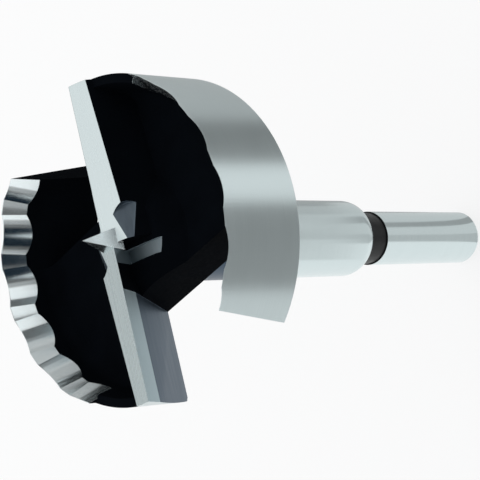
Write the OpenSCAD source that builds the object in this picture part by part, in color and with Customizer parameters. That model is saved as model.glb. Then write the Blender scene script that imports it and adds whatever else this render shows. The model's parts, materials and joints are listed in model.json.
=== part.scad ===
// Forstner bit, 70 mm, with a wave-ground rim. One piece of tool steel: a blackened blank whose
// outside, rim, blades, point, neck and shank are ground bright.
// The axis is Z, with the cutting end up and the end of the shank at z = 0.
// Blade A lies along +X, and its cutting lip faces +Y. Blade B is the same, turned half round.

/* [Overall] */
// From the end of the shank to the tip of the centre point
total_length = 130; // [115:1:160]

/* [Shank] */
// Diameter that the chuck holds
shank_dia = 13; // [10:0.5:16]
// From the end of the shank to the foot of the shoulder
shank_len = 44.5; // [36:0.5:50]
// Length of the band below the shoulder that stays black
band_len = 6; // [3:0.5:9]
// How much the black band lies under the ground shank, on the radius
band_relief = 0.3; // [0.2:0.05:0.6]
// Width of the chamfer on the shank's end, on the radius
end_chamfer = 1.3; // [0.5:0.1:2]
// Height of that chamfer along the shank
end_chamfer_len = 2.2; // [1:0.1:4]

/* [Neck] */
// Diameter of the neck between head and shoulder
neck_dia = 18; // [17:0.5:22]
// Height of the rounded shoulder
shoulder_len = 4.5; // [3.5:0.5:8]

/* [Head] */
// Diameter of the hole that the bit bores
head_dia = 70; // [64:1:80]
// From the back edge of the wall to the crests of the rim
head_height = 22.4; // [20:0.2:26]
// Depth of the cup's floor under the crests
floor_depth = 10.4; // [9.4:0.1:12]
// Depth of the hub at the centre under the crests
hub_depth = 5.2; // [4.6:0.1:6]
// Thickness of the wall at the cup's floor
wall_floor = 3.9; // [3.5:0.1:4.5]
// Slant of the cup's inner wall
wall_draft = 14; // [10:0.5:16]
// Chamfer on the back edge of the wall
back_chamfer = 0.8; // [0.3:0.1:1.5]
// Radius between the cup's floor and its wall
floor_fillet = 3; // [1.5:0.5:3.5]
// Radius between the neck and the back of the head
neck_fillet = 1.5; // [0.5:0.1:2]

/* [Rim] */
// Angle between the ground inside of the rim and the wall
bevel_angle = 27; // [24:1:32]
// Angle from one wave of the rim to the next
wave_pitch = 20; // [18:1:24]
// Depth of a wave, measured on the outside of the wall
wave_depth = 0.85; // [0.5:0.05:1.2]
// Share of the pitch that a hollow takes up
wave_share = 0.72; // [0.55:0.01:0.8]
// Angle from the blade back to the start of the ground rim
rim_start = 28; // [24:1:32]
// Depth of the black step between the blade and the ground rim
step_depth = 2.6; // [2:0.1:3.4]

/* [Blades] */
// Height of the crests of the rim over the cutting lips
lip_drop = 0.55; // [0.3:0.05:1]
// Distance of each lip ahead of the centre line
lip_offset = 1.4; // [1:0.1:2]
// Relief angle of the ground land behind the lip
lip_relief = 11; // [8:0.5:14]
// Width of the land at the centre
land_inner = 6.9; // [6:0.1:8]
// Width of the land at the rim
land_outer = 4.8; // [4:0.1:6]
// Slant of the blade's back below the land
back_slant = 25; // [15:1:32]
// Rake angle of the narrow facet under the lip
facet_rake = 20; // [15:1:24]
// Height of that facet
facet_depth = 5; // [3.5:0.1:6]
// Rake angle of the broad face under the facet
face_rake = 28; // [24:1:31]

/* [Throats] */
// Distance of the throat's inner side from the axis
throat_side = 11.2; // [11:0.1:13]
// Angle by which that side opens towards the wall
throat_flare = 14; // [8:0.5:16]
// Angle from the lip to the end of the next wall
gap_angle = 49; // [42:1:55]
// Lean of the wall's end
gap_lean = 10; // [5:1:15]

/* [Point] */
// Height of the tip over the crests
point_height = 6.4; // [5:0.1:8]
// Radius of the point's four edges at the height of the lips
point_radius = 2.9; // [2.4:0.1:3.5]
// Turn of those edges from the blades
point_turn = 42; // [30:1:60]
// Width of the gash beside the point
gash_width = 3; // [2.5:0.1:3.6]
// Length of that gash from the centre line
gash_len = 11; // [8:0.5:13]

/* [Hidden] */
$fn = 96;

ground_colour = "#b9c1c2";
black_colour = "#0d0e10";

// Radii
shank_r = shank_dia / 2;
neck_r = neck_dia / 2;
head_r = head_dia / 2;
shoulder_drop = neck_r - shank_r;
shoulder_r = (shoulder_len * shoulder_len + shoulder_drop * shoulder_drop) / (2 * shoulder_drop);

// Heights
rim_z = total_length - point_height;
back_z = rim_z - head_height;
floor_z = rim_z - floor_depth;
hub_z = rim_z - hub_depth;
step_z = rim_z - step_depth;
lip_z = rim_z - lip_drop;
shoulder_z = shank_len + shoulder_len;

// Cutting tools reach this far past the metal
past = 2;
top_z = rim_z + 3 * past;

// The hub is flat to hub_r, and slopes down to the floor at hub_foot
hub_r = 0.8 * throat_side;
hub_foot = 1.25 * throat_side;
hub_fall = 1.2;

// The narrow facet and the broad face under the lip, as [y, z] corners
facet_z = lip_z - facet_depth;
facet_y = lip_offset - facet_depth * tan(facet_rake);
face_z = back_z - past;
face_y = facet_y - (facet_z - face_z) * tan(face_rake);

// The cut for the step laps over the start of the ground rim by this angle
step_lap = 0.5;

// The wheel that grinds the rim runs out past the wall's end by this angle
rim_runout = 8;
rim_arc = 180 - rim_start - gap_angle + rim_runout;

// The hollows of the rim are round cuts, deeper than the cone between them
wave_cut = wave_depth * sin(bevel_angle);
wave_half = wave_share * wave_pitch / 2 * PI / 180 * head_r;
wave_r = 1 / (cos(bevel_angle) / head_r + 2 * wave_cut / (wave_half * wave_half));
wave_first = rim_start + 0.12 * wave_pitch;
wave_count = ceil(rim_arc / wave_pitch);

// Radius of the cup's inner wall at height z
function wall_r(z) = head_r - wall_floor + (z - floor_z) * tan(wall_draft);

// Half a turn takes blade A to blade B
module both_blades() {
  for (turn = [0, 180])
    rotate([0, 0, turn])
      children();
}

// Extrudes a [y, z] section along X
module along_x(from, to) {
  translate([from, 0, 0])
    rotate([90, 0, 90])
      linear_extrude(to - from)
        children();
}

// A sector about the axis, from one angle to another
module sector(from, to) {
  rotate([0, 0, from])
    rotate_extrude(angle = to - from)
      children();
}

// Half of the section through shank, shoulder, neck and head
module turned_section() {
  polygon([
    [0, 0],
    [shank_r - end_chamfer, 0],
    [shank_r, end_chamfer_len],
    [shank_r, shank_len - band_len],
    [shank_r - band_relief, shank_len - band_len],
    [shank_r - band_relief, shank_len],
    [0, shank_len]
  ]);
  intersection() {
    translate([neck_r - shoulder_r, shoulder_z])
      circle(shoulder_r);
    translate([0, shank_len])
      square([neck_r, shoulder_len]);
  }
  translate([0, shoulder_z])
    square([neck_r, back_z - shoulder_z]);
  difference() {
    translate([0, back_z - neck_fillet])
      square([neck_r + neck_fillet, neck_fillet]);
    translate([neck_r + neck_fillet, back_z - neck_fillet])
      circle(neck_fillet);
  }
  polygon([
    [0, back_z],
    [head_r - back_chamfer, back_z],
    [head_r, back_z + back_chamfer],
    [head_r, rim_z + past],
    [0, rim_z + past]
  ]);
}

// Half of the section of the cup: hub, floor, round corner and slanting wall
module cup_section() {
  corner_z = floor_z + floor_fillet;
  corner_r = wall_r(corner_z) - floor_fillet / cos(wall_draft);
  polygon([
    [0, hub_z],
    [hub_r, hub_z - hub_fall],
    [hub_foot, floor_z],
    [corner_r, floor_z],
    [corner_r + floor_fillet * cos(wall_draft), corner_z - floor_fillet * sin(wall_draft)],
    [wall_r(top_z), top_z],
    [0, top_z]
  ]);
  translate([corner_r, corner_z])
    circle(floor_fillet);
}

// Everything that lies ahead of the lip, bounded by its two rake faces
module ahead_of_lip(from) {
  along_x(from, head_r + past)
    polygon([
      [lip_offset, top_z],
      [lip_offset, lip_z],
      [facet_y, facet_z],
      [face_y, face_z],
      [2 * head_r, face_z],
      [2 * head_r, top_z]
    ]);
}

// Blade A: rake faces in front, the land on top, a slanting back that narrows the land outwards
module blade() {
  reach = 2 * land_inner;
  inner_end = point_radius / 3;
  taper = atan((land_inner - land_outer) / head_r);
  difference() {
    along_x(-inner_end, head_r + past)
      polygon([
        [lip_offset, lip_z],
        [facet_y, facet_z],
        [face_y, face_z],
        [-reach, face_z],
        [-reach, lip_z - (lip_offset + reach) * tan(lip_relief)]
      ]);
    translate([0, lip_offset - land_inner, lip_z - land_inner * tan(lip_relief)])
      rotate([0, 0, taper])
        rotate([-back_slant, 0, 0])
          translate([-head_r, -head_r, -head_r])
            cube([3 * head_r, head_r, 2 * head_r]);
  }
}

// The black inside of the cup, with the steps in the wall behind the blades
module cup() {
  difference() {
    union() {
      rotate_extrude()
        cup_section();
      both_blades()
        sector(-rim_start - step_lap, gap_angle / 2)
          translate([head_r - 2 * wall_floor, step_z])
            square([2 * wall_floor + past, top_z - step_z]);
    }
    both_blades()
      blade();
  }
}

// Chip throat ahead of blade A: inside the wall it reaches in to throat_side, and a narrower gap
// runs out through the wall, so the end of the next wall stands free
module throat() {
  intersection() {
    ahead_of_lip(0);
    translate([throat_side, 0, back_z - past])
      rotate([0, 0, throat_flare])
        translate([0, -head_r, 0])
          cube([2 * head_r, 3 * head_r, head_height + 3 * past]);
    union() {
      translate([0, 0, back_z - past])
        cylinder(h = top_z - back_z + past, r1 = wall_r(back_z - past), r2 = wall_r(top_z));
      translate([0, 0, rim_z])
        rotate([0, 0, gap_angle])
          rotate([-gap_lean, 0, 0])
            translate([0, -2 * head_r, -2 * head_height])
              cube([2 * head_r, 2 * head_r, 3 * head_height]);
    }
  }
}

// Ground inside of the rim: a cone, and the round hollows that make its wave
module rim_grind() {
  rise = past / tan(bevel_angle);
  fall = wall_floor / tan(bevel_angle);
  low_r = head_r - wall_floor;
  sector(-rim_start - rim_arc, -rim_start)
    polygon([
      [head_r + past, rim_z + rise],
      [low_r, rim_z - fall],
      [low_r, rim_z + rise + past],
      [head_r + past, rim_z + rise + past]
    ]);
  intersection() {
    sector(-rim_start - rim_arc, -rim_start)
      translate([low_r, floor_z])
        square([wall_floor + past, top_z - floor_z]);
    for (i = [0 : wave_count])
      rotate([0, 0, -wave_first - i * wave_pitch])
        translate([head_r, 0, rim_z])
          rotate([0, bevel_angle, 0])
            translate([wave_cut - wave_r, 0, 0])
              cylinder(r = wave_r, h = 2 * head_height, center = true);
  }
}

// Two ground marks beside the point: a slot ahead of the lip and a round facet behind the land
module point_gashes() {
  slot_x = 0.75 * point_radius;
  slot_sink = 1.8;
  slot_z = hub_z - slot_sink;
  facet_r = 0.6 * land_inner;
  facet_x = 0.9 * point_radius;
  facet_slope = 40;
  facet_run = 2;
  intersection() {
    ahead_of_lip(0);
    union() {
      translate([slot_x, 0, slot_z])
        cube([gash_width, gash_len - gash_width / 2, 2 * hub_depth]);
      translate([slot_x + gash_width / 2, gash_len - gash_width / 2, slot_z])
        cylinder(d = gash_width, h = 2 * hub_depth);
    }
  }
  facet_drop = (land_inner - facet_run) * tan(lip_relief) + facet_run * tan(facet_slope);
  translate([facet_x, lip_offset - land_inner, lip_z - facet_drop])
    rotate([facet_slope, 0, 0])
      cylinder(r = facet_r, h = 2 * hub_depth);
}

// Centre point: a four-edged spike that rises from the web between the lips
module point() {
  root = 2;
  spike = point_height + lip_drop + root;
  translate([0, 0, lip_z - root])
    rotate([0, 0, point_turn])
      cylinder(h = spike, r1 = point_radius * spike / (spike - root), r2 = 0, $fn = 4);
}

module forstner_bit() {
  difference() {
    color(ground_colour)
      rotate_extrude()
        turned_section();
    color(black_colour)
      cup();
    color(ground_colour)
      both_blades() {
        throat();
        rim_grind();
        point_gashes();
      }
  }
  color(ground_colour)
    point();
}

forstner_bit();
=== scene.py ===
# %% [markdown]
# A Forstner bit, ground out of one blank
#
# This bit bores flat-bottomed holes in wood. A toolmaker turns a blank of tool steel, blackens it,
# and then grinds away everything that has to be bright: the outside, the lips, the rim and the shank.
# We work in the same order. Each cutter that we take to the blank leaves its own finish behind,
# so the border between bright and black falls exactly where the grinding wheel stopped.

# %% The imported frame
import json
import math

import bmesh
import bpy
from mathutils import Matrix, Vector


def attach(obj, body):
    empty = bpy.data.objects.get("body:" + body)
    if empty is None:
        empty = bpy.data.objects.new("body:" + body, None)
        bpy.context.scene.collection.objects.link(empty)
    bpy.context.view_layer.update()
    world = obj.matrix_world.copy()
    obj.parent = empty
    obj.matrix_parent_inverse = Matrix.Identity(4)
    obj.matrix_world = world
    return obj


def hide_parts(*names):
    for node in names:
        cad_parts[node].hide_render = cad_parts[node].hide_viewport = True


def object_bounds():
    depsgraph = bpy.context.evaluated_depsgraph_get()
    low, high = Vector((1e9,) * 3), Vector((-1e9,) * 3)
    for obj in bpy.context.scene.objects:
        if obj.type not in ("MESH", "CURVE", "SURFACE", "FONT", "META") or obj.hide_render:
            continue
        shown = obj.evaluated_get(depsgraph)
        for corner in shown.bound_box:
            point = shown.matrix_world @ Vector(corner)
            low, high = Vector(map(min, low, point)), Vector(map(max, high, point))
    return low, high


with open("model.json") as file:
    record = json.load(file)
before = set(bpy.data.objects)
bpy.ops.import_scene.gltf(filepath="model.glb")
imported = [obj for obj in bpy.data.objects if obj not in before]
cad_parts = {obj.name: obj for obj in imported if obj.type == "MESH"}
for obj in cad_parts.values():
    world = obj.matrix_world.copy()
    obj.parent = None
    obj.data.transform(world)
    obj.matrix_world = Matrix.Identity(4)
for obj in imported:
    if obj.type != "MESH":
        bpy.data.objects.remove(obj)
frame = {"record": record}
cad_low, cad_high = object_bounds()
print("frame box in mm:", [round(1000 * side, 2) for side in cad_high - cad_low])

# %% [markdown]
# Units and the sizes that the frame already knows
#
# The whole bit is drawn in millimetres, because that is how such a tool is drawn, and the finished
# mesh is brought to metres at the end. Its length, the radius of its head and the radius of its
# shank are read from the frame, so the picture can't drift away from the solid.

# %% Driving sizes
MM = 0.001
shank_mount = next(m for m in frame["record"]["mounts"] if m["name"] == "shank")
total_length = cad_high.z / MM
head_r = cad_high.x / MM
shank_r = shank_mount["dims"]["r_mm"]
print("length", round(total_length, 2), "head radius", round(head_r, 2), "shank radius", shank_r)

# %% [markdown]
# Ground steel
#
# Ground steel is never one grey. The wheel leaves fine scratches that all run one way, and light
# spreads across them. A noise that is stretched hard along one direction gives the scratches.
# It drives a slight change of colour, a change of roughness and a shallow bump. The stretch is set
# by three frequencies, in cycles a metre, so one function serves for turned, ground and honed faces.
# We start with small helpers that each add one or two nodes and hand on their output. A Mix node has
# sockets for every kind of value, so the numbers of its colour sockets get names.

# %% Nodes that steel needs
NOISE_LOW, NOISE_HIGH = 0.3, 0.7
COLOUR_A, COLOUR_B, COLOUR_OUT = 6, 7, 2


def new_material(name):
    material = bpy.data.materials.new(name)
    material.use_nodes = True
    tree = material.node_tree
    return material, tree, tree.nodes["Principled BSDF"]


def scratches(tree, frequencies, detail=4.0):
    """A noise on Object coordinates, stretched by its three frequencies."""
    place = tree.nodes.new("ShaderNodeTexCoord")
    stretch = tree.nodes.new("ShaderNodeMapping")
    stretch.inputs["Scale"].default_value = frequencies
    noise = tree.nodes.new("ShaderNodeTexNoise")
    noise.inputs["Scale"].default_value = 1.0
    noise.inputs["Detail"].default_value = detail
    tree.links.new(place.outputs["Object"], stretch.inputs["Vector"])
    tree.links.new(stretch.outputs["Vector"], noise.inputs["Vector"])
    return noise.outputs["Fac"]


def ramp(tree, value, low, high):
    """Maps a noise to a colour between low and high."""
    mix = tree.nodes.new("ShaderNodeMix")
    mix.data_type = "RGBA"
    mix.inputs[COLOUR_A].default_value = (*low, 1)
    mix.inputs[COLOUR_B].default_value = (*high, 1)
    tree.links.new(value, mix.inputs[0])
    return mix.outputs[COLOUR_OUT]


def spread(tree, value, low, high):
    """Maps a noise to a number between low and high."""
    span = tree.nodes.new("ShaderNodeMapRange")
    span.inputs["From Min"].default_value = NOISE_LOW
    span.inputs["From Max"].default_value = NOISE_HIGH
    span.inputs["To Min"].default_value = low
    span.inputs["To Max"].default_value = high
    tree.links.new(value, span.inputs["Value"])
    return span.outputs["Result"]


print("noise is read between", NOISE_LOW, "and", NOISE_HIGH)

# %% [markdown]
# Edges that catch the light
#
# No real edge is perfectly sharp, and light catches on the little that it is broken by. On this bit
# that is about a tenth and a half of a millimetre. It could be cut into the mesh, but a cut that small
# breaks up where three ground faces meet. The Bevel node rounds only the shading, and it works on any
# edge, so the relief of the scratches is laid over its normal.

# %% Rounded edges under the scratches
EDGE_ROUND = 0.00015
EDGE_SAMPLES = 6


def bump(tree, value, height):
    """A shallow relief, laid over edges that are rounded by EDGE_ROUND."""
    rounded = tree.nodes.new("ShaderNodeBevel")
    rounded.samples = EDGE_SAMPLES
    rounded.inputs["Radius"].default_value = EDGE_ROUND
    node = tree.nodes.new("ShaderNodeBump")
    node.inputs["Strength"].default_value = 1.0
    node.inputs["Distance"].default_value = height
    tree.links.new(rounded.outputs["Normal"], node.inputs["Normal"])
    tree.links.new(value, node.inputs["Height"])
    return node.outputs["Normal"]


print("edges are rounded by", EDGE_ROUND * 1000, "mm")

# %% [markdown]
# One steel, many wheels
#
# Every bright face is the same steel. What differs is the wheel: how coarse it was, which way it ran
# and how far it spread the light. So one function makes all the ground finishes. Scratches that run
# round the axis smear a reflection along the axis, and Anisotropic does that. A quarter turn sets its
# direction, so the bands of light on a round face stay crisp on their way round.

# %% Ground steel
QUARTER_TURN = 0.25


def ground_steel(name, tone, frequencies, rough, across=0.0, groove=0.0000007):
    """Bright steel: tone is its darkest and brightest colour, rough its smoothest and roughest."""
    material, tree, shader = new_material(name)
    lines = scratches(tree, frequencies)
    tree.links.new(ramp(tree, lines, *tone), shader.inputs["Base Color"])
    tree.links.new(spread(tree, lines, *rough), shader.inputs["Roughness"])
    tree.links.new(bump(tree, lines, groove), shader.inputs["Normal"])
    shader.inputs["Metallic"].default_value = 1.0
    shader.inputs["Anisotropic"].default_value = across
    shader.inputs["Anisotropic Rotation"].default_value = QUARTER_TURN
    return material


AROUND = (60, 60, 4200)
ALONG_LIP = (60, 1300, 1300)
ALONG_BEVEL = (1500, 1500, 120)
EVEN = (900, 900, 900)
print("directions of grinding:", len((AROUND, ALONG_LIP, ALONG_BEVEL, EVEN)))

# %% [markdown]
# The finishes of this bit
#
# Each finish has a darkest and a brightest colour. The wall and the shank were ground round the axis,
# the lands and the rake faces along the lip, and the rim across its bevel. The broad face under
# the lip is coloured a dark blue-grey as painted shade, for the shadowed floor that it mirrors.
# The point and the rim are the finest, and the point's colour is also raised as a painted highlight.

# %% Finishes by the wheel that made them
BRIGHT = ((0.61, 0.69, 0.70), (0.70, 0.78, 0.79))
SATIN = ((0.63, 0.71, 0.72), (0.69, 0.77, 0.78))
GREY = ((0.40, 0.50, 0.53), (0.52, 0.61, 0.65))
# A dark blue-grey that is painted shade, used on the broad face and on the root of the neck.
PAINTED_SHADE_BLUE_GREY = ((0.045, 0.072, 0.105), (0.08, 0.112, 0.15))
# The point uses this brightest colour partly as a painted highlight.
POLISHED = ((0.84, 0.91, 0.93), (0.92, 0.97, 0.98))
SLATE = ((0.15, 0.19, 0.235), (0.21, 0.255, 0.3))
DULL = ((0.26, 0.31, 0.34), (0.36, 0.42, 0.45))
wall_steel = ground_steel("wall ground around", SATIN, AROUND, (0.28, 0.35), 0.6, groove=0.00000035)
shank_steel = ground_steel("shank ground around", BRIGHT, AROUND, (0.15, 0.22), 0.5)
# The root of the neck is darkened as painted shade, for the dark underside of the head that it mirrors.
painted_shade_root_steel = ground_steel("root of the neck, turned but not ground", PAINTED_SHADE_BLUE_GREY, AROUND, (0.32, 0.42), 0.4)
land_steel = ground_steel("land ground along the lip", BRIGHT, ALONG_LIP, (0.24, 0.32))
bevel_steel = ground_steel("rim bevel ground by the wheel", POLISHED, ALONG_BEVEL, (0.14, 0.18), 0.95,
                           groove=0.0000003)
rake_steel = ground_steel("rake facet ground along the lip", GREY, ALONG_LIP, (0.48, 0.58))
# The broad face is darkened as painted shade, for the shadowed floor that it mirrors.
painted_shade_face_steel = ground_steel("broad face ground along the lip", PAINTED_SHADE_BLUE_GREY, ALONG_LIP, (0.32, 0.44))
# The point's colour is raised as a painted highlight, for the bright sky that its facets mirror.
point_steel = ground_steel("point ground fine, brightened as a painted highlight", POLISHED, EVEN, (0.20, 0.26))
slot_steel = ground_steel("slot ground at the point", DULL, ALONG_LIP, (0.55, 0.65))
disc_steel = ground_steel("facet ground at the point", SLATE, ALONG_LIP, (0.30, 0.40))
print("ground finishes:", len([m for m in bpy.data.materials if "ground" in m.name]))

# %% [markdown]
# The black of the unground blank
#
# Inside the cup the blank keeps the black skin of its heat treatment. It is a thin, slightly glossy
# layer over a forged surface, so it has a fine grain and a few soft hollows. Two noises give those:
# a coarse one for the unevenness of the forging and a fine one for the grain of the skin.

# %% Black skin
FORGED = (160, 160, 160)
GRAINY = (1400, 1400, 1400)
SOOT = ((0.0010, 0.0015, 0.0024), (0.0024, 0.0036, 0.0055))
FORGED_SHARE = 4.0
SKIN_RELIEF = 0.00002


def black_skin(name, shine, rough):
    """Black steel: shine is how much of a mirror it is, rough its smoothest and roughest."""
    material, tree, shader = new_material(name)
    forging = scratches(tree, FORGED, detail=3.0)
    grain = scratches(tree, GRAINY, detail=6.0)
    tree.links.new(ramp(tree, forging, *SOOT), shader.inputs["Base Color"])
    tree.links.new(spread(tree, grain, *rough), shader.inputs["Roughness"])
    both = tree.nodes.new("ShaderNodeMath")
    both.operation = "MULTIPLY_ADD"
    both.inputs[1].default_value = FORGED_SHARE
    tree.links.new(forging, both.inputs[0])
    tree.links.new(grain, both.inputs[2])
    tree.links.new(bump(tree, both.outputs[0], SKIN_RELIEF), shader.inputs["Normal"])
    shader.inputs["Specular IOR Level"].default_value = shine
    return material


black = black_skin("black skin of the blank", 0.012, (0.72, 0.9))
band_black = black_skin("black band of the shank", 0.25, (0.3, 0.45))
print("black finishes made:", black.name, "and", band_black.name)

# %% [markdown]
# Helpers for blanks and cutters
#
# A lathe spins an outline, and a mill pushes one along a line, so two helpers draw nearly all that
# we need: turned() spins an outline of radius and height about the axis, and milled() pushes an
# outline of y and z along x. Each edge of an outline can carry a finish of its own. Both build their
# mesh through piece(), which merges doubles and turns all faces outwards.

# %% Turned and milled pieces
ROUND_STEPS = 240
FEWEST_STEPS = 8
TOUCHING = 1e-5


def piece(name, corners, faces, face_finishes):
    mesh = bpy.data.meshes.new(name)
    mesh.from_pydata(corners, [], faces)
    finishes = []
    for finish in face_finishes:
        if finish not in finishes:
            finishes.append(finish)
            mesh.materials.append(finish)
    for polygon, finish in zip(mesh.polygons, face_finishes):
        polygon.material_index = finishes.index(finish)
    welded = bmesh.new()
    welded.from_mesh(mesh)
    bmesh.ops.remove_doubles(welded, verts=welded.verts, dist=TOUCHING)
    bmesh.ops.recalc_face_normals(welded, faces=welded.faces)
    welded.to_mesh(mesh)
    welded.free()
    made = bpy.data.objects.new(name, mesh)
    bpy.context.scene.collection.objects.link(made)
    return made


def edge_finishes(outline, finish):
    return finish if isinstance(finish, list) else [finish] * len(outline)


def turned(name, outline, finish, start=0.0, sweep=360.0, full_steps=ROUND_STEPS):
    """Spins a closed outline of (radius, height) about Z, by a full turn or a part of one."""
    count = len(outline)
    whole = sweep >= 360.0
    steps = full_steps if whole else max(FEWEST_STEPS, round(full_steps * sweep / 360))
    rings = steps if whole else steps + 1
    corners = []
    for k in range(rings):
        angle = math.radians(start + sweep * k / steps)
        corners += [(r * math.cos(angle), r * math.sin(angle), z) for r, z in outline]
    faces, marks = [], []
    for k in range(steps):
        here, there = k * count, (k + 1) % rings * count
        for i, mark in enumerate(edge_finishes(outline, finish)):
            j = (i + 1) % count
            if outline[i][0] + outline[j][0] > 0:
                ring = [here + i, there + i, there + j, here + j]
                faces.append(ring)
                marks.append(mark)
    if not whole:
        faces += [list(range(count)), list(range(steps * count, rings * count))]
        marks += [edge_finishes(outline, finish)[0]] * 2
    return piece(name, corners, faces, marks)


def milled(name, outline, finish, x_from, x_to):
    """Pushes a closed outline of (y, z) along X."""
    count = len(outline)
    corners = [(x, y, z) for x in (x_from, x_to) for y, z in outline]
    faces = [[i, (i + 1) % count, count + (i + 1) % count, count + i] for i in range(count)]
    faces += [list(range(count)), list(range(count, 2 * count))]
    marks = edge_finishes(outline, finish)
    return piece(name, corners, faces, marks + [marks[0]] * 2)


print("a full turn has", ROUND_STEPS, "steps")

# %% [markdown]
# Moving a cutter and taking it to the work
#
# A cutter is moved in its own mesh, so that its object stays at the origin. Then cut() takes it to the
# work. It is a Boolean modifier that is applied at once, and it hands the cutter's finish to the faces
# that the cutter leaves. The bit is the same after half a turn, so each cutter for blade A gets a twin
# for blade B.

# %% Placed, cut and half turned
def placed(made, *moves):
    """Applies moves to a piece's own mesh, the first one named first."""
    for move in moves:
        made.data.transform(move)
    return made


def shift(x, y, z):
    return Matrix.Translation((x, y, z))


def turn(angle, axis):
    return Matrix.Rotation(math.radians(angle), 4, axis)


def cut(target, tool, operation="DIFFERENCE"):
    """Takes a tool to a piece. The faces that it leaves get the tool's finish."""
    step = target.modifiers.new("cut", "BOOLEAN")
    step.operation = operation
    step.object = tool
    step.solver = "MANIFOLD"
    step.material_mode = "TRANSFER"
    seen = target.evaluated_get(bpy.context.evaluated_depsgraph_get())
    result = bpy.data.meshes.new_from_object(seen)
    target.modifiers.clear()
    target.data = result
    bpy.data.objects.remove(tool)
    return target


def half_turned(made):
    """A copy of a piece, half a turn about the axis: blade A's cutter becomes blade B's."""
    twin = bpy.data.objects.new(made.name + " twin", made.data.copy())
    bpy.context.scene.collection.objects.link(twin)
    return placed(twin, turn(180, "Z"))


def arc(centre, radius, first, last, steps):
    """Points on an arc, from one angle to another."""
    angles = [math.radians(first + (last - first) * k / steps) for k in range(steps + 1)]
    return [(centre[0] + radius * math.cos(a), centre[1] + radius * math.sin(a)) for a in angles]


PAST = 2.0
print("cutters reach past the work by", PAST, "mm")

# %% [markdown]
# The turned blank
#
# Shank, shoulder, neck and the outside of the head come off the lathe in one outline. The shank has a
# long chamfer at its end, and below the shoulder a short band lies a hair deeper than the rest.
# The grinding wheel doesn't reach into it, so it stays black. The shoulder is part of a circle.
# Close under the head the root of the neck is coloured dark as painted shade, for the dark underside of
# the head that it mirrors.

# %% Blank
SHOULDER_STEPS, FILLET_STEPS, FLOOR_STEPS = 24, 8, 10
point_height = 6.4
head_height = 22.4
neck_r = 9.0
shank_len = 44.5
shoulder_len = 4.5
band_len = 6.0
band_relief = 0.3
end_chamfer = 1.3
end_chamfer_len = 2.2
back_chamfer = 0.8
neck_fillet = 1.5
# How far down the neck the painted shade under the head reaches.
painted_shade_root_len = 14.0
rim_z = total_length - point_height
back_z = rim_z - head_height
shoulder_z = shank_len + shoulder_len
shoulder_drop = neck_r - shank_r
shoulder_r = (shoulder_len ** 2 + shoulder_drop ** 2) / (2 * shoulder_drop)
shoulder_foot = -math.degrees(math.asin(shoulder_len / shoulder_r))

band_z = shank_len - band_len
band_r = shank_r - band_relief
shank_outline = [(0, 0), (shank_r - end_chamfer, 0), (shank_r, end_chamfer_len), (shank_r, band_z)]
band_outline = [(band_r, band_z), (band_r, shank_len)]
shoulder_outline = arc((neck_r - shoulder_r, shoulder_z), shoulder_r, shoulder_foot, 0, SHOULDER_STEPS)
fillet_outline = arc((neck_r + neck_fillet, back_z - neck_fillet), neck_fillet, 180, 90, FILLET_STEPS)
head_outline = [
    (head_r - back_chamfer, back_z),
    (head_r, back_z + back_chamfer),
    (head_r, rim_z + PAST),
    (0, rim_z + PAST),
]
root_outline = [(neck_r, back_z - painted_shade_root_len)] + fillet_outline
blank_outline = shank_outline + band_outline + shoulder_outline + root_outline + head_outline
blank_finish = [shank_steel] * 3 + [band_black] * 3
# The root of the neck gets the painted shade.
blank_finish += [shank_steel] * len(shoulder_outline) + [painted_shade_root_steel] * len(root_outline)
blank_finish += [wall_steel] * (len(blank_outline) - len(blank_finish))
bit = turned("forstner_bit_dressed", blank_outline, blank_finish)
print("blank faces:", len(bit.data.polygons))

# %% [markdown]
# The black cup
#
# The cup is a turned hollow with a low hub in the middle, a flat floor and a slanting wall. It could be
# cut straight into the blank, but the two blades have to stay standing in it. So the cup is made as a
# cutter that waits, and the next two steps still change it. Its outline is spun in one go, with a
# fillet where the floor meets the wall.

# %% Cup
floor_depth = 10.4
hub_depth = 5.2
hub_r = 8.96
hub_foot = 14.0
hub_fall = 1.2
wall_floor = 3.9
wall_draft = 14.0
floor_fillet = 3.0
floor_z = rim_z - floor_depth
hub_z = rim_z - hub_depth
top_z = rim_z + 3 * PAST


def wall_r(z):
    return head_r - wall_floor + (z - floor_z) * math.tan(math.radians(wall_draft))


corner_z = floor_z + floor_fillet
corner_r = wall_r(corner_z) - floor_fillet / math.cos(math.radians(wall_draft))
cup_outline = [(0, hub_z), (hub_r, hub_z - hub_fall), (hub_foot, floor_z)]
cup_outline += arc((corner_r, corner_z), floor_fillet, -90, -wall_draft, FLOOR_STEPS)
cup_outline += [(wall_r(top_z), top_z), (0, top_z)]
cup = turned("cup", cup_outline, black)
print("cup floor at", round(floor_z, 2), "mm and hub at", round(hub_z, 2), "mm")

# %% [markdown]
# The step behind each blade
#
# Behind each blade the wall is lower for a few degrees, so that the back of the blade clears the wood.
# That step is black too, because it was milled with the cup. It is part of a ring, joined to the cup's
# cutter, and its twin sits half a turn on.

# %% Steps
rim_start = 28.0
step_lap = 0.5
step_depth = 2.6
gap_angle = 49.0
step_outline = [
    (head_r - 2 * wall_floor, rim_z - step_depth),
    (head_r + PAST, rim_z - step_depth),
    (head_r + PAST, top_z),
    (head_r - 2 * wall_floor, top_z),
]
step_sweep = rim_start + step_lap + gap_angle / 2
step_a = turned("step", step_outline, black, -rim_start - step_lap, step_sweep)
for step in (half_turned(step_a), step_a):
    cut(cup, step, "UNION")
print("each step spans", step_sweep, "degrees")

# %% [markdown]
# The blades left standing
#
# A blade is a bar with a lip in front and a land on top, which falls away from the lip and narrows a
# little towards the wall. Its back slants. We take two such bars out of the cup's cutter, and then the
# cutter goes to the blank and leaves the blades behind. Only the land is ground bright. The front is
# drawn a hair too far ahead, so that the wheel of the next step has something to take off.

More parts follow.
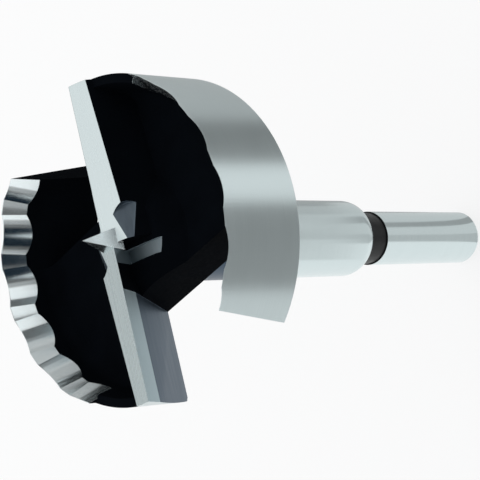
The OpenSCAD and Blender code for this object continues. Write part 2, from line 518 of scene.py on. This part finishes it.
# %% Blades
lip_below_rim = 0.55
lip_z = rim_z - lip_below_rim
lip_offset = 1.4
lip_relief = 11.0
land_inner = 6.9
land_outer = 4.8
back_slant = 25.0
facet_rake = 20.0
point_radius = 2.9
facet_depth = 5.0
face_rake = 28.0
facet_z = lip_z - facet_depth
facet_y = lip_offset - facet_depth * math.tan(math.radians(facet_rake))
face_z = back_z - PAST
face_y = facet_y - (facet_z - face_z) * math.tan(math.radians(face_rake))
blade_reach = 2 * land_inner
blade_root = -point_radius / 3
land_fall = math.tan(math.radians(lip_relief))
FRONT_LAP = 0.04
blade_outline = [
    (lip_offset + FRONT_LAP, lip_z),
    (facet_y + FRONT_LAP, facet_z),
    (face_y + FRONT_LAP, face_z),
    (-blade_reach, face_z),
    (-blade_reach, lip_z - (lip_offset + blade_reach) * land_fall),
]
blade_a = milled("blade", blade_outline, [black] * 4 + [land_steel], blade_root, head_r + PAST)
land_taper = math.degrees(math.atan((land_inner - land_outer) / head_r))
behind_outline = [(-head_r, -head_r), (0, -head_r), (0, head_r), (-head_r, head_r)]
behind = milled("behind the blade", behind_outline, black, -head_r, 2 * head_r)
placed(behind, turn(-back_slant, "X"), turn(land_taper, "Z"))
placed(behind, shift(0, lip_offset - land_inner, lip_z - land_inner * land_fall))
cut(blade_a, behind)
for blade in (half_turned(blade_a), blade_a):
    cut(cup, blade)
cut(bit, cup)
print("faces with the cup cut:", len(bit.data.polygons))

# %% [markdown]
# Chip throats
#
# Ahead of each lip a throat runs right through the head, so chips can leave towards the shank. Its one
# side is the rake face under the lip, ground in two angles: a narrow facet and a broad face. The other
# sides stay black. Inside the wall the throat reaches further round than the gap in the wall itself,
# so the end of the next wall stands free like an ear.

# %% Throats
throat_side = 11.2
throat_flare = 14.0
gap_lean = 10.0
ahead_outline = [
    (lip_offset, top_z),
    (lip_offset, lip_z),
    (facet_y, facet_z),
    (face_y, face_z),
    (2 * head_r, face_z),
    (2 * head_r, top_z),
]
# The broad face here carries the painted shade.
throat_finish = [black, rake_steel, painted_shade_face_steel, black, black, black]
throat_a = milled("throat", ahead_outline, throat_finish, 0, head_r + PAST)
side_low, side_high = face_z - PAST, top_z + PAST
side_outline = [(-head_r, side_low), (2 * head_r, side_low), (2 * head_r, side_high), (-head_r, side_high)]
side = milled("throat side", side_outline, black, 0, 2 * head_r)
cut(throat_a, placed(side, turn(throat_flare, "Z"), shift(throat_side, 0, 0)), "INTERSECT")
inner_outline = [(0, face_z), (wall_r(face_z), face_z), (wall_r(top_z), top_z), (0, top_z)]
reach = turned("inside the wall", inner_outline, black)
gap_outline = [(-2 * head_r, -2 * head_r), (0, -2 * head_r), (0, head_r), (-2 * head_r, head_r)]
gap = milled("gap in the wall", gap_outline, black, 0, 2 * head_r)
cut(reach, placed(gap, turn(-gap_lean, "X"), turn(gap_angle, "Z"), shift(0, 0, rim_z)), "UNION")
cut(throat_a, reach, "INTERSECT")
for throat in (half_turned(throat_a), throat_a):
    cut(bit, throat)
print("faces with the throats cut:", len(bit.data.polygons))

# %% [markdown]
# The bevel inside the rim
#
# The inside of the rim is first ground to a plain cone, which brings its outer edge to a sharp corner.
# The cone runs from the back of one blade to the gap ahead of the next, and a few degrees past it.
# It is part of a ring, spun from a four-sided outline, in finer steps than the rest, because
# a polished face shows every corner.

# %% Bevel cone
FINE_STEPS = 720
bevel_angle = 27.0
rim_runout = 8.0
rim_arc = 180 - rim_start - gap_angle + rim_runout
bevel_slope = math.tan(math.radians(bevel_angle))
bevel_outline = [
    (head_r + PAST, rim_z + PAST / bevel_slope),
    (head_r - wall_floor, rim_z - wall_floor / bevel_slope),
    (head_r - wall_floor, top_z + PAST),
    (head_r + PAST, top_z + PAST),
]
bevel_a = turned("rim bevel", bevel_outline, bevel_steel, -rim_start - rim_arc, rim_arc, FINE_STEPS)
for bevel in (half_turned(bevel_a), bevel_a):
    cut(bit, bevel)
print("rim bevel ground over", rim_arc, "degrees each side")

# %% [markdown]
# One hollow of the wave
#
# A round wheel then sinks into the cone at even steps. What is left between two hollows is a crest, and
# the row of crests scores the edge of the hole. The wheel lies along the cone, and its radius follows
# from how deep and how wide a hollow is. It may take away only its own share of the rim, because a
# wheel this large would reach into the blades.

# %% One hollow
wave_pitch = 20.0
wave_depth = 0.85
wave_share = 0.72
wave_sink = wave_depth * math.sin(math.radians(bevel_angle))
wave_half = math.radians(wave_share * wave_pitch / 2) * head_r
wheel_r = 1 / (math.cos(math.radians(bevel_angle)) / head_r + 2 * wave_sink / wave_half ** 2)
wheel_half = 2 * wall_floor / bevel_slope
wheel_outline = [(0, -wheel_half), (wheel_r, -wheel_half), (wheel_r, wheel_half), (0, wheel_half)]
hollow = turned("one hollow", wheel_outline, bevel_steel, full_steps=FINE_STEPS)
placed(hollow, shift(wave_sink - wheel_r, 0, 0), turn(bevel_angle, "Y"), shift(head_r, 0, rim_z))
rim_outline = [
    (head_r - wall_floor, floor_z + floor_fillet / 2),
    (head_r + PAST, floor_z + floor_fillet / 2),
    (head_r + PAST, top_z),
    (head_r - wall_floor, top_z),
]
SHARE_GAP = 0.99
own_share = SHARE_GAP * wave_pitch
cut(hollow, turned("share of the rim", rim_outline, bevel_steel, -own_share / 2, own_share), "INTERSECT")
print("wheel radius", round(wheel_r, 2), "mm, sunk by", round(wave_sink, 3), "mm")

# %% [markdown]
# A row about the axis in Geometry Nodes
#
# A row at even angles is work for Geometry Nodes. The tree makes a number of points, gives each one
# an angle from its index, and sets the given hollow on every point. Its sizes are named inputs.
# It ends with Realize Instances and Set Material, so what comes out is plain geometry with its finish.

# %% Tree for a row
def row_about_axis(finish):
    """A tree that sets its input out about Z, at even angles, and realises it with one finish."""
    tree = bpy.data.node_groups.new("row about the axis", "GeometryNodeTree")
    face = tree.interface
    face.new_socket("Geometry", in_out="INPUT", socket_type="NodeSocketGeometry")
    face.new_socket("Count", in_out="INPUT", socket_type="NodeSocketInt")
    face.new_socket("First angle", in_out="INPUT", socket_type="NodeSocketFloat")
    face.new_socket("Pitch", in_out="INPUT", socket_type="NodeSocketFloat")
    face.new_socket("Geometry", in_out="OUTPUT", socket_type="NodeSocketGeometry")
    given = tree.nodes.new("NodeGroupInput").outputs
    row = tree.nodes.new("GeometryNodePoints")
    index = tree.nodes.new("GeometryNodeInputIndex")
    angle = tree.nodes.new("ShaderNodeMath")
    angle.operation = "MULTIPLY_ADD"
    about_z = tree.nodes.new("ShaderNodeCombineXYZ")
    spin = tree.nodes.new("FunctionNodeEulerToRotation")
    place = tree.nodes.new("GeometryNodeInstanceOnPoints")
    real = tree.nodes.new("GeometryNodeRealizeInstances")
    painted = tree.nodes.new("GeometryNodeSetMaterial")
    painted.inputs["Material"].default_value = finish
    out = tree.nodes.new("NodeGroupOutput")
    tree.links.new(given["Count"], row.inputs["Count"])
    tree.links.new(index.outputs[0], angle.inputs[0])
    tree.links.new(given["Pitch"], angle.inputs[1])
    tree.links.new(given["First angle"], angle.inputs[2])
    tree.links.new(angle.outputs[0], about_z.inputs["Z"])
    tree.links.new(about_z.outputs[0], spin.inputs[0])
    tree.links.new(row.outputs[0], place.inputs["Points"])
    tree.links.new(given["Geometry"], place.inputs["Instance"])
    tree.links.new(spin.outputs[0], place.inputs["Rotation"])
    tree.links.new(place.outputs[0], real.inputs[0])
    tree.links.new(real.outputs[0], painted.inputs["Geometry"])
    tree.links.new(painted.outputs[0], out.inputs[0])
    return tree


rim_row = row_about_axis(bevel_steel)
print("nodes in the tree:", len(rim_row.nodes))

# %% [markdown]
# The wave-ground rim
#
# The inputs of a Geometry Nodes modifier are set by the identifier of each socket, before the object is
# evaluated for the first time. Then the result is kept as a plain mesh and the modifier goes.
# The row is trimmed to the ground part of the rim, and it becomes a cutter like the rest.

# %% Row of hollows
def run_tree(made, tree, values):
    """Runs a tree on a piece with named inputs, and keeps the result as its plain mesh."""
    step = made.modifiers.new(tree.name, "NODES")
    step.node_group = tree
    for socket in tree.interface.items_tree:
        if socket.name in values:
            step[socket.identifier] = values[socket.name]
    seen = made.evaluated_get(bpy.context.evaluated_depsgraph_get())
    result = bpy.data.meshes.new_from_object(seen)
    made.modifiers.clear()
    made.data = result
    return made


wave_count = math.floor((180 - rim_start - gap_angle) / wave_pitch) + 1
FIRST_SHARE = 0.12
wave_first = rim_start + FIRST_SHARE * wave_pitch
row_sizes = {
    "Count": wave_count,
    "First angle": -math.radians(wave_first),
    "Pitch": -math.radians(wave_pitch),
}
hollows_a = run_tree(hollow, rim_row, row_sizes)
rim_sector = turned("ground part of the rim", rim_outline, bevel_steel, -rim_start - rim_arc, rim_arc)
cut(hollows_a, rim_sector, "INTERSECT")
for hollows in (half_turned(hollows_a), hollows_a):
    cut(bit, hollows)
print("hollows on each side:", wave_count, "and faces with the rim ground:", len(bit.data.polygons))

# %% [markdown]
# The marks beside the point
#
# To grind the point, the wheel has to run out somewhere. It leaves two marks on each side: a slot with
# a round end in the hub ahead of the lip, and a facet at the back of the land. The slot is a milled bar
# and a turned end, kept ahead of the lip. The facet is the flat end of a tilted round wheel.

# %% Slots and facets
gash_width = 3.0
gash_len = 11.0
slot_x = 0.75 * point_radius
slot_sink = 1.8
slot_z = hub_z - slot_sink
facet_r = 0.6 * land_inner
facet_x = 0.9 * point_radius
facet_slope = 40.0
facet_turn = 16.0
facet_run = 2.0
facet_drop = (land_inner - facet_run) * land_fall + facet_run * math.tan(math.radians(facet_slope))
slot_end = gash_len - gash_width / 2
slot_outline = [(-PAST, slot_z), (slot_end, slot_z), (slot_end, rim_z + PAST), (-PAST, rim_z + PAST)]
slot_a = milled("slot", slot_outline, slot_steel, slot_x, slot_x + gash_width)
end_r = gash_width / 2
end_outline = [(0, slot_z), (end_r, slot_z), (end_r, rim_z + PAST), (0, rim_z + PAST)]
round_end = turned("slot end", end_outline, slot_steel)
cut(slot_a, placed(round_end, shift(slot_x + gash_width / 2, slot_end, 0)), "UNION")
ahead = milled("ahead of the lip", ahead_outline, slot_steel, 0, head_r + PAST)
cut(slot_a, ahead, "INTERSECT")
disc_height = 12.0
disc_outline = [(0, 0), (facet_r, 0), (facet_r, disc_height), (0, disc_height)]
disc_a = turned("round facet", disc_outline, disc_steel)
facet_place = shift(facet_x, lip_offset - land_inner, lip_z - facet_drop)
placed(disc_a, turn(facet_slope, "X"), turn(facet_turn, "Z"), facet_place)
for mark in (half_turned(slot_a), slot_a, half_turned(disc_a), disc_a):
    cut(bit, mark)
print("faces with the slots and facets:", len(bit.data.polygons))

# %% [markdown]
# The point
#
# The point is a small four-sided spike that finds the centre of the hole. A cone with four sides would
# do, but its corners have to lie on the marks, so its base is written out and turned as a whole.
# It starts a little below the lips, because a union needs some overlap to join cleanly.

# %% Point
point_turn = 42.0
point_root = 2.0
spike = point_height + rim_z - lip_z + point_root
spike_r = point_radius * spike / (spike - point_root)
spike_base = [(spike_r, 0, 0), (0, spike_r, 0), (-spike_r, 0, 0), (0, -spike_r, 0)]
spike_faces = [[0, 1, 2, 3], [0, 1, 4], [1, 2, 4], [2, 3, 4], [3, 0, 4]]
point = piece("point", spike_base + [(0, 0, spike)], spike_faces, [point_steel] * 5)
cut(bit, placed(point, turn(point_turn, "Z"), shift(0, 0, lip_z - point_root)), "UNION")
print("faces with the point:", len(bit.data.polygons))

# %% [markdown]
# A clean mesh, in metres
#
# Many cuts leave a few corners that nearly touch, and slivers between them. They are merged before the
# mesh goes to metres. Nothing here is larger than a few thousandths of a millimetre.

# %% Clean mesh
WELD = 0.004
SLIVER = 0.002
welded = bmesh.new()
welded.from_mesh(bit.data)
bmesh.ops.remove_doubles(welded, verts=welded.verts, dist=WELD)
bmesh.ops.dissolve_degenerate(welded, edges=welded.edges, dist=SLIVER)
welded.to_mesh(bit.data)
welded.free()
bit.data.transform(Matrix.Scale(MM, 4))
print("box in mm:", [round(side / MM, 2) for side in bit.dimensions])

# %% [markdown]
# Hard edges, and the place in the frame
#
# Round faces are shaded smooth, and edges above an angle stay hard. The rim is the exception. Smooth
# shading would bend the mirror image on its long narrow faces, so they are cut fine and shaded flat,
# and the crests between the hollows stay true corners. Then the dressed bit takes the place of
# the solid and rides the frame's only body.

# %% Hard edges and the frame
HARD_EDGE = math.radians(28)
bit.data.shade_smooth()
bit.data.set_sharp_from_angle(angle=HARD_EDGE)
bevel_index = bit.data.materials.find(bevel_steel.name)
for polygon in bit.data.polygons:
    polygon.use_smooth = polygon.material_index != bevel_index
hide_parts("forstner_bit")
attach(bit, "root")
print("finished faces:", len(bit.data.polygons))

# %% [markdown]
# Camera
#
# The photograph looks down on the cutting end with a long lens, and the axis of the bit lies level in
# the picture. So the camera stands above the head, on the side of the rim, and is rolled by about a
# quarter turn. Its place, its direction and its lens were fitted to the round of the rim and the shank.

# %% Photo camera
SENSOR = 36.0
PHOTO_SIDE = 480
focal_pixels = 1748.9
eye = Vector((-83.53, -259.75, 366.76)) * MM
forward = Vector((0.21194, 0.66013, -0.72063)).normalized()
image_up = Vector((0.95001, -0.31214, -0.00652))
right = forward.cross(image_up).normalized()
up = right.cross(forward)
photo_camera = bpy.data.cameras.new("photo camera")
photo_camera.sensor_width = SENSOR
photo_camera.lens = SENSOR * focal_pixels / PHOTO_SIDE
photo_camera.clip_start = 0.01
camera = bpy.data.objects.new("photo camera", photo_camera)
bpy.context.scene.collection.objects.link(camera)
basis = Matrix((right, up, -forward)).transposed().to_4x4()
camera.matrix_world = Matrix.Translation(eye) @ basis
bpy.context.scene.camera = camera
print("lens in mm:", round(photo_camera.lens, 1))

# %% [markdown]
# What the camera and what mirrors see
#
# The photograph has a white background, but more light on the bit would be the wrong way to get one.
# The Light Path node tells which kind of ray asks. A ray from the camera, and one that comes off metal
# or through glass, may see white, and all other rays see a plain surface that only gives soft light.
# One helper makes that share, for the floor and for the sky.

# %% Share of white
scene = bpy.context.scene
scene.view_settings.view_transform = "Standard"


def seen_share(tree, camera_share):
    """The share of white: camera_share for the camera, all of it in mirrors and glass, else none."""
    rays = tree.nodes.new("ShaderNodeLightPath")
    direct = tree.nodes.new("ShaderNodeMath")
    direct.operation = "MULTIPLY_ADD"
    direct.inputs[1].default_value = camera_share
    total = tree.nodes.new("ShaderNodeMath")
    total.operation = "ADD"
    total.use_clamp = True
    tree.links.new(rays.outputs["Is Camera Ray"], direct.inputs[0])
    tree.links.new(rays.outputs["Is Glossy Ray"], direct.inputs[2])
    tree.links.new(direct.outputs[0], total.inputs[0])
    tree.links.new(rays.outputs["Is Transmission Ray"], total.inputs[1])
    return total.outputs[0]


WHITE = (1, 1, 1, 1)
print("view transform:", scene.view_settings.view_transform)

# %% [markdown]
# The pale floor
#
# The floor is a large pale sheet. For the camera three quarters of it are plain white and a quarter is
# matt, and that quarter keeps the soft shadow under the bit.

# %% Floor
FLOOR_HALF = 6.0
FLOOR_WHITE = 0.75
FLOOR_PALE = (0.9, 0.9, 0.9, 1)


def floor_material():
    material, tree, shader = new_material("pale floor")
    tree.nodes.remove(shader)
    matt = tree.nodes.new("ShaderNodeBsdfDiffuse")
    matt.inputs["Color"].default_value = FLOOR_PALE
    glow = tree.nodes.new("ShaderNodeEmission")
    glow.inputs["Color"].default_value = WHITE
    mix = tree.nodes.new("ShaderNodeMixShader")
    tree.links.new(seen_share(tree, FLOOR_WHITE), mix.inputs[0])
    tree.links.new(matt.outputs[0], mix.inputs[1])
    tree.links.new(glow.outputs[0], mix.inputs[2])
    tree.links.new(mix.outputs[0], tree.nodes["Material Output"].inputs["Surface"])
    return material


floor_corners = [(FLOOR_HALF * x, FLOOR_HALF * y, 0) for x, y in ((-1, -1), (1, -1), (1, 1), (-1, 1))]
floor_mesh = bpy.data.meshes.new("floor")
floor_mesh.from_pydata(floor_corners, [], [[0, 1, 2, 3]])
floor_mesh.materials.append(floor_material())
floor = bpy.data.objects.new("floor", floor_mesh)
scene.collection.objects.link(floor)
print("floor side in metres:", 2 * FLOOR_HALF)

# %% [markdown]
# Sky and softbox
#
# An even sky gives most of the light, as the white walls of a small studio do. One large softbox behind
# the bit adds a direction, so that the shadow falls towards the camera. Metal would show it as a second
# sun on top of the white sky, so mirrors don't see it.

# %% Light
SKY_GREY = (0.78, 0.79, 0.80, 1)
SOFTBOX_SIDES = (1.4, 1.2)
SOFTBOX_WATTS = 3.8
world = bpy.data.worlds.new("studio")
world.use_nodes = True
scene.world = world
around = world.node_tree
sky = around.nodes["Background"]
sky.inputs["Color"].default_value = SKY_GREY
white = around.nodes.new("ShaderNodeBackground")
white.inputs["Color"].default_value = WHITE
pick = around.nodes.new("ShaderNodeMixShader")
around.links.new(seen_share(around, 1.0), pick.inputs[0])
around.links.new(sky.outputs[0], pick.inputs[1])
around.links.new(white.outputs[0], pick.inputs[2])
around.links.new(pick.outputs[0], around.nodes["World Output"].inputs["Surface"])

lamp = bpy.data.lights.new("far top softbox", "AREA")
lamp.shape = "RECTANGLE"
lamp.size, lamp.size_y = SOFTBOX_SIDES
lamp.energy = SOFTBOX_WATTS
lamp_place = Vector((0.215, 0.66, 0.85))
lamp_aim = Vector((0, 0, 0.1)) - lamp_place
softbox = bpy.data.objects.new("far top softbox", lamp)
softbox.visible_glossy = False
scene.collection.objects.link(softbox)
lamp_turn = lamp_aim.to_track_quat("-Z", "Y").to_matrix().to_4x4()
softbox.matrix_world = Matrix.Translation(lamp_place) @ lamp_turn
print("softbox of", SOFTBOX_WATTS, "watts")

# %% [markdown]
# Cards for the metal to mirror
#
# Bright metal is only as good as what it mirrors, and in an all-white room it looks like plaster.
# So a photographer sets grey and white cards round the work. Here each card is a strip bent about the
# axis, and a card is no brighter than the white of the background. The camera doesn't see them, and
# they give no light and no shadow to anything else. The darkest one is cool, as black cloth is.

# %% One card
PLAIN, COOL = (0.98, 1.0, 1.0), (0.5, 1.0, 1.6)
DARK_TONE = 0.05
CARD_STEPS = 12


def card(name, from_angle, to_angle, near, far, tone):
    """A card bent about the bit, between two edges of (radius, height). Only mirrors see it."""
    material, tree, shader = new_material(name)
    tree.nodes.remove(shader)
    glow = tree.nodes.new("ShaderNodeEmission")
    tint = COOL if tone < DARK_TONE else PLAIN
    glow.inputs["Color"].default_value = [tone * part for part in tint] + [1]
    tree.links.new(glow.outputs[0], tree.nodes["Material Output"].inputs["Surface"])
    turns = [k / CARD_STEPS for k in range(CARD_STEPS + 1)]
    angles = [math.radians(from_angle + (to_angle - from_angle) * share) for share in turns]
    edges = [(r * MM, z * MM) for r, z in (near, far)]
    corners = [(r * math.cos(a), r * math.sin(a), z) for a in angles for r, z in edges]
    faces = [[2 * k, 2 * k + 1, 2 * k + 3, 2 * k + 2] for k in range(CARD_STEPS)]
    mesh = bpy.data.meshes.new(name)
    mesh.from_pydata(corners, [], faces)
    mesh.materials.append(material)
    made = bpy.data.objects.new(name, mesh)
    scene.collection.objects.link(made)
    made.visible_camera = False
    made.visible_diffuse = False
    made.visible_shadow = False


print("a card has", CARD_STEPS, "steps")

# %% [markdown]
# Where the cards lie
#
# Each round of the bit mirrors its own ring of the room. The shank looks down at the floor close by,
# the neck a little further out and the wall further still, so flat rings on the floor serve them. The
# hollows of the rim look out nearly level, so their cards stand. On the side of the camera they are tall,
# because the grain of the bevel draws a reflection out upwards. A card is given by the two angles
# between which it runs and by its tone.

# %% Cards around the bit
for_shank = [
    (26, 74, 0.45),
    (-42, 26, 0.7),
    (-64, -42, 0.42),
    (-96, -64, 0.74),
    (-122, -96, 0.6),
    (-286, -122, 1.0),
]
for_neck = [(0, 74, 0.45), (-35, 0, 0.58), (-110, -35, 0.68), (-170, -110, 0.8), (-286, -170, 1.0)]
for_wall = [(-27, 40, 0.5), (-60, -27, 0.19), (-85, -60, 0.97), (-139, -85, 0.22), (-180, -139, 0.72)]
for_low_rim = [
    (5, 20, 0.3),
    (20, 55, 0.9),
    (55, 100, 0.6),
    (100, 120, 1.0),
    (120, 150, 0.2),
    (150, 180, 0.9),
]
for_tall_rim = [
    (-180, -138, 1.0),
    (-138, -130, 0.4),
    (-130, -124, 0.15),
    (-124, -92, 0.015),
    (-92, -86, 0.12),
    (-86, -78, 0.4),
    (-78, -57, 0.95),
    (-57, -40, 0.12),
    (-40, -34, 0.25),
    (-34, -20, 0.5),
    (-20, 5, 0.42),
]
SHANK_RING, NECK_RING, WALL_RING, RIM_RING = 6, 52, 96, 262
STAND = 600
LIFT, LOW_TOP, TALL_TOP = 0.5, 640, 3000
rings = [("shank", for_shank, SHANK_RING, NECK_RING), ("neck", for_neck, NECK_RING, WALL_RING)]
rings += [("wall", for_wall, WALL_RING, RIM_RING), ("rim", for_low_rim, RIM_RING, STAND)]
for what, cards, inner, outer in rings:
    for from_angle, to_angle, tone in cards:
        card("floor card for the " + what, from_angle, to_angle, (inner, LIFT), (outer, LIFT), tone)
for cards, top in ((for_low_rim, LOW_TOP), (for_tall_rim, TALL_TOP)):
    for from_angle, to_angle, tone in cards:
        card("standing card for the rim", from_angle, to_angle, (STAND, LIFT), (STAND, top), tone)
